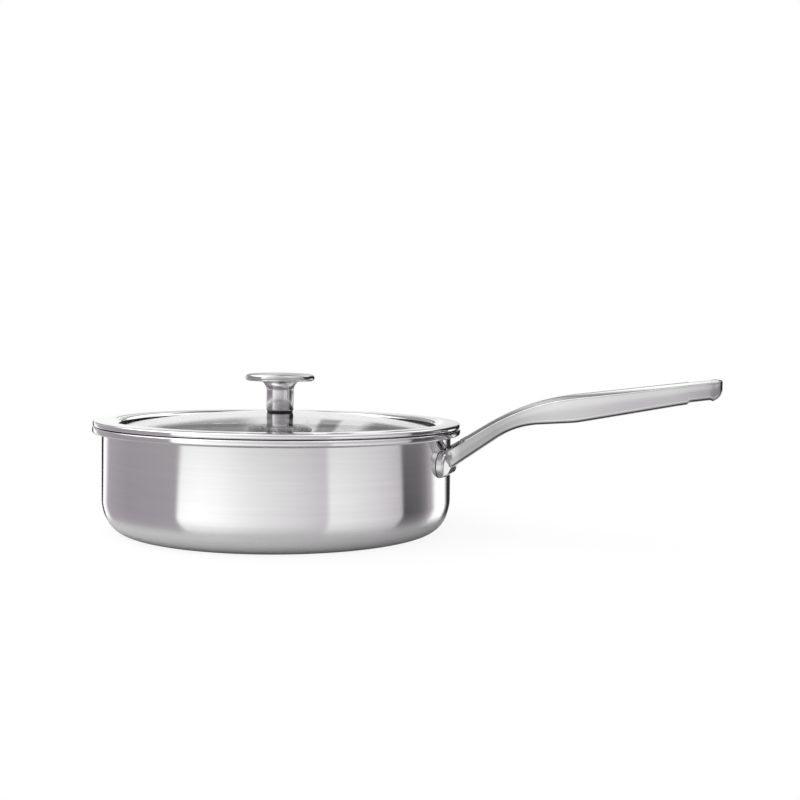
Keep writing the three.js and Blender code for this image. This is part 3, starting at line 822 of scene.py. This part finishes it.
def makeFixing():
    s, g, k = fixingShape, glassShape, knobShape
    rubber = silicone("gasketSilicone", siliconeFinish)
    metal = brushedSteel("fixingSteel", fixingFinish)
    bore, boreRound = k["bore"], s["boreRound"]

    def placeRing(name, corners, material, solid):
        mesh = lathe(name, roundCorners(corners), s["ringSteps"], loop=True)
        place(name, mesh, material, "lid", [solid])

    radius, rounds = s["upperRadius"], s["upperRounds"]
    placeRing("knobUpperGasket", [
        (bore, g["apex"], boreRound), (radius, g["apex"], rounds[0]), (radius, k["foot"], rounds[1]),
        (bore, k["foot"], boreRound),
    ], rubber, "knob_upper_gasket")

    top = glassTop(s["lowerRadius"]) - g["thickness"] - s["play"]
    low = top - s["lowerThickness"]
    collar = g["holeRadius"] - s["collarPlay"]
    collarTop = glassTop(g["holeRadius"]) - s["play"]
    radius, rounds, collarRounds = s["lowerRadius"], s["lowerRounds"], s["collarRounds"]
    placeRing("knobLowerGasket", [
        (bore, low, boreRound), (radius, low, rounds[0]), (radius, top, rounds[1]), (collar, top, collarRounds[0]),
        (collar, collarTop, collarRounds[1]), (bore, collarTop, boreRound),
    ], rubber, "knob_lower_gasket")

    washerLow = low - s["washerThickness"]
    radius, (plain, eased) = s["washerRadius"], s["washerRounds"]
    placeRing("knobWasher", [
        (bore, washerLow, plain), (radius, washerLow, eased), (radius, low, plain), (bore, low, plain),
    ], metal, "knob_washer")

    lockLow = washerLow - s["lockThickness"]
    radius, eased = s["lockRadius"], s["lockRound"]
    section = roundCorners([
        (bore, lockLow, boreRound), (radius, lockLow, eased), (radius, washerLow, eased),
        (bore, washerLow, boreRound),
    ], 3)
    gap = s["lockSplit"] / (bore + radius)
    turns = [gap + (2 * pi - 2 * gap) * i / s["lockSteps"] for i in range(s["lockSteps"] + 1)]
    lock = loft("knobLockWasher", [[(r * cos(t), r * sin(t), z) for r, z in section] for t in turns])
    place("knobLockWasher", lock, metal, "lid", ["knob_lock_washer"])

    headLow = lockLow - s["headHeight"]
    radius, eased, pitch = s["screwRadius"], s["headRound"], s["threadPitch"]
    profile = [(0, headLow)] + arc((s["headRadius"] - eased, headLow + eased), eased, eased, -90, 0, 6)
    profile += [(s["headRadius"], lockLow), (radius, lockLow)]
    end = k["foot"] + s["engagement"]
    z = lockLow + pitch
    while z < end - pitch:
        profile += [(radius, z), (radius - s["threadDepth"], z + pitch / 2)]
        z += pitch
    profile += [(radius - s["endBevel"], end), (0, end)]
    half, reach = s["slotWidth"] / 2, 2 * s["headRadius"]
    slotLow, slotTop = headLow - s["slotSpare"], headLow + s["slotDepth"]
    slotLine = [(-half, slotLow), (half, slotLow), (half, slotTop), (-half, slotTop)]
    slot = loft("slot", [[(x, y, z) for y, z in slotLine] for x in (-reach, reach)])
    screw = cut(lathe("knobScrew", profile, s["screwSteps"]), slot)
    place("knobScrew", screw, metal, "lid", ["knob_screw"])


makeKnob()
makeFixing()
print("knob and fixing made")


# studio: white floor and backdrop, and panels that show only in the steel and the glass

floorLook = {
    "radius": 6, "steps": 96, "drop": 0.0004, "colour": (0.93, 0.93, 0.93), "glow": 0.9, "allGlow": (0.3, 0.8),
    # the floor's colour in reflections is darker than to the camera: painted shade
    "mirrored": (0.127, 0.145), "reflectedShadeColour": (0.58, 0.58, 0.58),
}
studioLook = {
    # brightness by azimuth: below the turn-over height, above it, and overhead
    "low": [
        (-180, 0.35), (-136.5, 0.38), (-133.5, 1.2), (-118, 1.28), (-108, 1.26), (-87, 1.04), (-61, 0.86),
        (-38.5, 0.68), (-35.5, 1.05), (-25, 1.0), (-9, 0.86), (10, 0.68), (17, 0.6), (19.5, 0.08), (35, 0.13),
        (42, 0.22), (50, 0.48), (55, 1.1), (57, 1.3), (72, 1.3), (76, 0.6), (79, 0.02), (92, 0.02), (95, 1),
        (119, 1), (122, 0.01), (134.5, 0.01), (136.5, 1.4), (142, 1.2), (150, 0.42), (180, 0.35),
    ],
    "high": [
        (-180, 0.36), (-136.5, 0.4), (-133.5, 1.5), (-121, 1.5), (-112, 1.0), (-103, 0.9), (-88, 0.75), (-70, 0.55),
        (0, 0.5), (17, 0.45), (20, 0.05), (50, 0.03), (79, 0.02), (92, 0.02), (95, 0.7), (101, 0.78), (106, 1),
        (142, 1), (150, 0.45), (180, 0.36),
    ],
    "above": [
        (-180, 2.0), (-140, 2.0), (-130, 1.4), (-112, 1.1), (-95, 0.9), (-60, 0.9), (-38.5, 0.9), (-35.5, 1.3),
        (-9, 1.1), (15, 0.9), (20, 0.5), (45, 0.55), (52, 1.3), (70, 1.5), (80, 1.0), (95, 0.8), (120, 0.9),
        (135, 1.2), (150, 2.0), (180, 2.0),
    ],
    "turnOver": (-5.2, -3.2), "aboveRise": (24, 34),
    # straight down the world turns dark: painted shadow of the pan on the floor below
    "table": 0.46, "tableRise": (-68, -4), "paintedShadowBelow": 0.04, "paintedShadowRise": (-80, -50),
    "tint": 0.07, "tintBelow": 0.95, "tintOver": 0.6,  # greys lean to purple by this
    "clearDepth": 2.5,  # the backdrop stays white through this many surfaces of the glass
    "panels": {  # brightness, edges in azimuth, edges in height
        "behind": (0.36, (84, 87, 98, 101), (8, 10, 18, 21)),
        "back": (1.5, (84, 87, 98, 101), (18, 21, 43, 46)),
        "over": (0.12, (84, 87, 116, 128), (43, 47, 78, 84)),
        "right": (0.3, (100.5, 102, 104.6, 105.8), (8, 11, 44, 48)),
        "slit": (0.34, (106.9, 107.4, 108.4, 108.9), (10, 12.5, 44, 48)),
        "middle": (0.36, (112.5, 115, 119.8, 120.8), (9, 13.5, 28, 31)),
        "left": (0.36, (120.9, 121.9, 140, 150), (7, 9, 44, 50)),
        "edge": (0.02, (122.5, 124.5, 133, 135), (-6, -5, 2.5, 4)),
    },
}
lampLook = {"place": (-0.5, -0.7, 1.7), "size": 1.6, "power": 9}
cameraLook = {
    "place": (0.28377, -0.71720, 0.12902), "turn": (87.207, -0.885, 15.263), "lens": 48.43, "sensor": 36,
    "clipStart": 0.01,
}


def makeFloor():
    s = floorLook
    turns = [2 * pi * i / s["steps"] for i in range(s["steps"])]
    mesh = bpy.data.meshes.new("floor")
    verts = [(s["radius"] * cos(a), s["radius"] * sin(a), -s["drop"]) for a in turns]
    mesh.from_pydata(verts, [], [list(range(s["steps"]))])
    material = bpy.data.materials.new("paleFloor")
    material.use_nodes = True
    tree = material.node_tree
    tree.nodes.clear()
    rays = node(tree, "LightPath").outputs
    spot = node(tree, "TexCoord").outputs["Object"]
    reach = node(tree, "VectorMath", {0: spot}, operation="LENGTH").outputs["Value"]
    near, far = s["allGlow"]
    plain = node(tree, "MapRange", {0: reach, 1: near, 2: far, 3: s["glow"], 4: 1}).outputs[0]
    seen = node(tree, "Math", {0: rays["Is Camera Ray"], 1: plain}, operation="MULTIPLY").outputs[0]
    near, far = s["mirrored"]
    beyond = node(tree, "MapRange", {0: reach, 1: near, 2: far}).outputs[0]
    unseen = node(tree, "Math", {0: rays["Is Glossy Ray"], 1: beyond}, operation="MULTIPLY").outputs[0]
    # in reflections the floor takes a darker colour than the camera sees: painted shade in the steel
    paint = tone(tree, rays["Is Glossy Ray"], s["colour"], s["reflectedShadeColour"])
    matt = node(tree, "BsdfDiffuse", {"Color": paint})
    glow = node(tree, "Emission", {"Color": (1, 1, 1, 1), "Strength": 1})
    lit = node(tree, "MixShader", {0: seen, 1: matt.outputs[0], 2: glow.outputs[0]})
    clear = node(tree, "BsdfTransparent")
    shown = node(tree, "MixShader", {0: unseen, 1: lit.outputs[0], 2: clear.outputs[0]})
    tree.links.new(shown.outputs[0], node(tree, "OutputMaterial").inputs["Surface"])
    mesh.materials.append(material)
    floor = bpy.data.objects.new("floor", mesh)
    scene.collection.objects.link(floor)


def azimuthRamp(tree, azimuth, stops):
    s = studioLook
    tints = []
    for angle, value in stops:
        lean = min(max((s["tintBelow"] - value) / s["tintOver"], 0), 1)
        tints.append(((angle + 180) / 360, (value, value * (1 - s["tint"] * lean), value, 1)))
    ramp = node(tree, "ValToRGB", {0: azimuth})
    fillRamp(ramp, tints)
    return ramp.outputs[0]


def makeStudio():
    s = studioLook
    world = bpy.data.worlds.new("studio")
    scene.world = world
    world.use_nodes = True
    tree = world.node_tree
    tree.nodes.clear()
    axes = node(tree, "SeparateXYZ", {0: node(tree, "TexCoord").outputs["Generated"]})
    height = axes.outputs["Z"]
    angle = node(tree, "Math", {0: axes.outputs["Y"], 1: axes.outputs["X"]}, operation="ARCTAN2").outputs[0]
    azimuth = node(tree, "MapRange", {0: angle, 1: -pi, 2: pi, 3: 0, 4: 1}).outputs[0]

    def grey(value):
        return (value, value, value, 1)

    def ease(value, low, high, start=0, end=1):
        ends = {0: value, 1: low, 2: high, 3: start, 4: end}
        return node(tree, "MapRange", ends, interpolation_type="SMOOTHSTEP").outputs[0]

    def rise(low, high):
        return ease(height, sin(radians(low)), sin(radians(high)))

    def within(value, edges):
        a, b, c, d = edges
        both = {0: ease(value, a, b), 1: ease(value, c, d, 1, 0)}
        return node(tree, "Math", both, operation="MULTIPLY").outputs[0]

    def blend(factor, a, b):
        return node(tree, "Mix", {0: factor, 6: a, 7: b}, data_type="RGBA").outputs[2]

    low, high, above = [azimuthRamp(tree, azimuth, s[part]) for part in ("low", "high", "above")]
    colour = blend(rise(*s["turnOver"]), low, high)
    colour = blend(rise(*s["aboveRise"]), colour, above)
    for strength, azimuths, heights in s["panels"].values():
        across = within(azimuth, [(edge + 180) / 360 for edge in azimuths])
        upward = within(height, [sin(radians(edge)) for edge in heights])
        share = node(tree, "Math", {0: across, 1: upward}, operation="MULTIPLY").outputs[0]
        colour = blend(share, colour, grey(strength))
    colour = blend(rise(*s["tableRise"]), grey(s["table"]), colour)
    # darkens the world straight down: painted shadow under the pan
    colour = blend(rise(*s["paintedShadowRise"]), grey(s["paintedShadowBelow"]), colour)
    rays = node(tree, "LightPath").outputs
    first = node(tree, "Math", {0: rays["Ray Depth"], 1: s["clearDepth"]}, operation="LESS_THAN").outputs[0]
    through = node(tree, "Math", {0: rays["Is Transmission Ray"], 1: first}, operation="MULTIPLY").outputs[0]
    white = node(tree, "Math", {0: rays["Is Camera Ray"], 1: through}, operation="MAXIMUM").outputs[0]
    background = node(tree, "Background", {"Color": blend(white, colour, grey(1)), "Strength": 1})
    tree.links.new(background.outputs[0], node(tree, "OutputWorld").inputs["Surface"])


def makeLampAndCamera():
    s = lampLook
    lamp = bpy.data.lights.new("softLamp", "AREA")
    lamp.size = s["size"]
    lamp.energy = s["power"]
    holder = bpy.data.objects.new("softLamp", lamp)
    holder.location = s["place"]
    holder.rotation_euler = (-Vector(s["place"])).to_track_quat("-Z", "Y").to_euler()
    holder.visible_glossy = False
    scene.collection.objects.link(holder)
    s = cameraLook
    camera = bpy.data.cameras.new("camera")
    camera.sensor_width = s["sensor"]
    camera.lens = s["lens"]
    camera.clip_start = s["clipStart"]
    viewer = bpy.data.objects.new("camera", camera)
    viewer.location = s["place"]
    viewer.rotation_euler = [radians(a) for a in s["turn"]]
    scene.collection.objects.link(viewer)
    scene.camera = viewer


makeFloor()
makeStudio()
makeLampAndCamera()
print("studio and camera made")
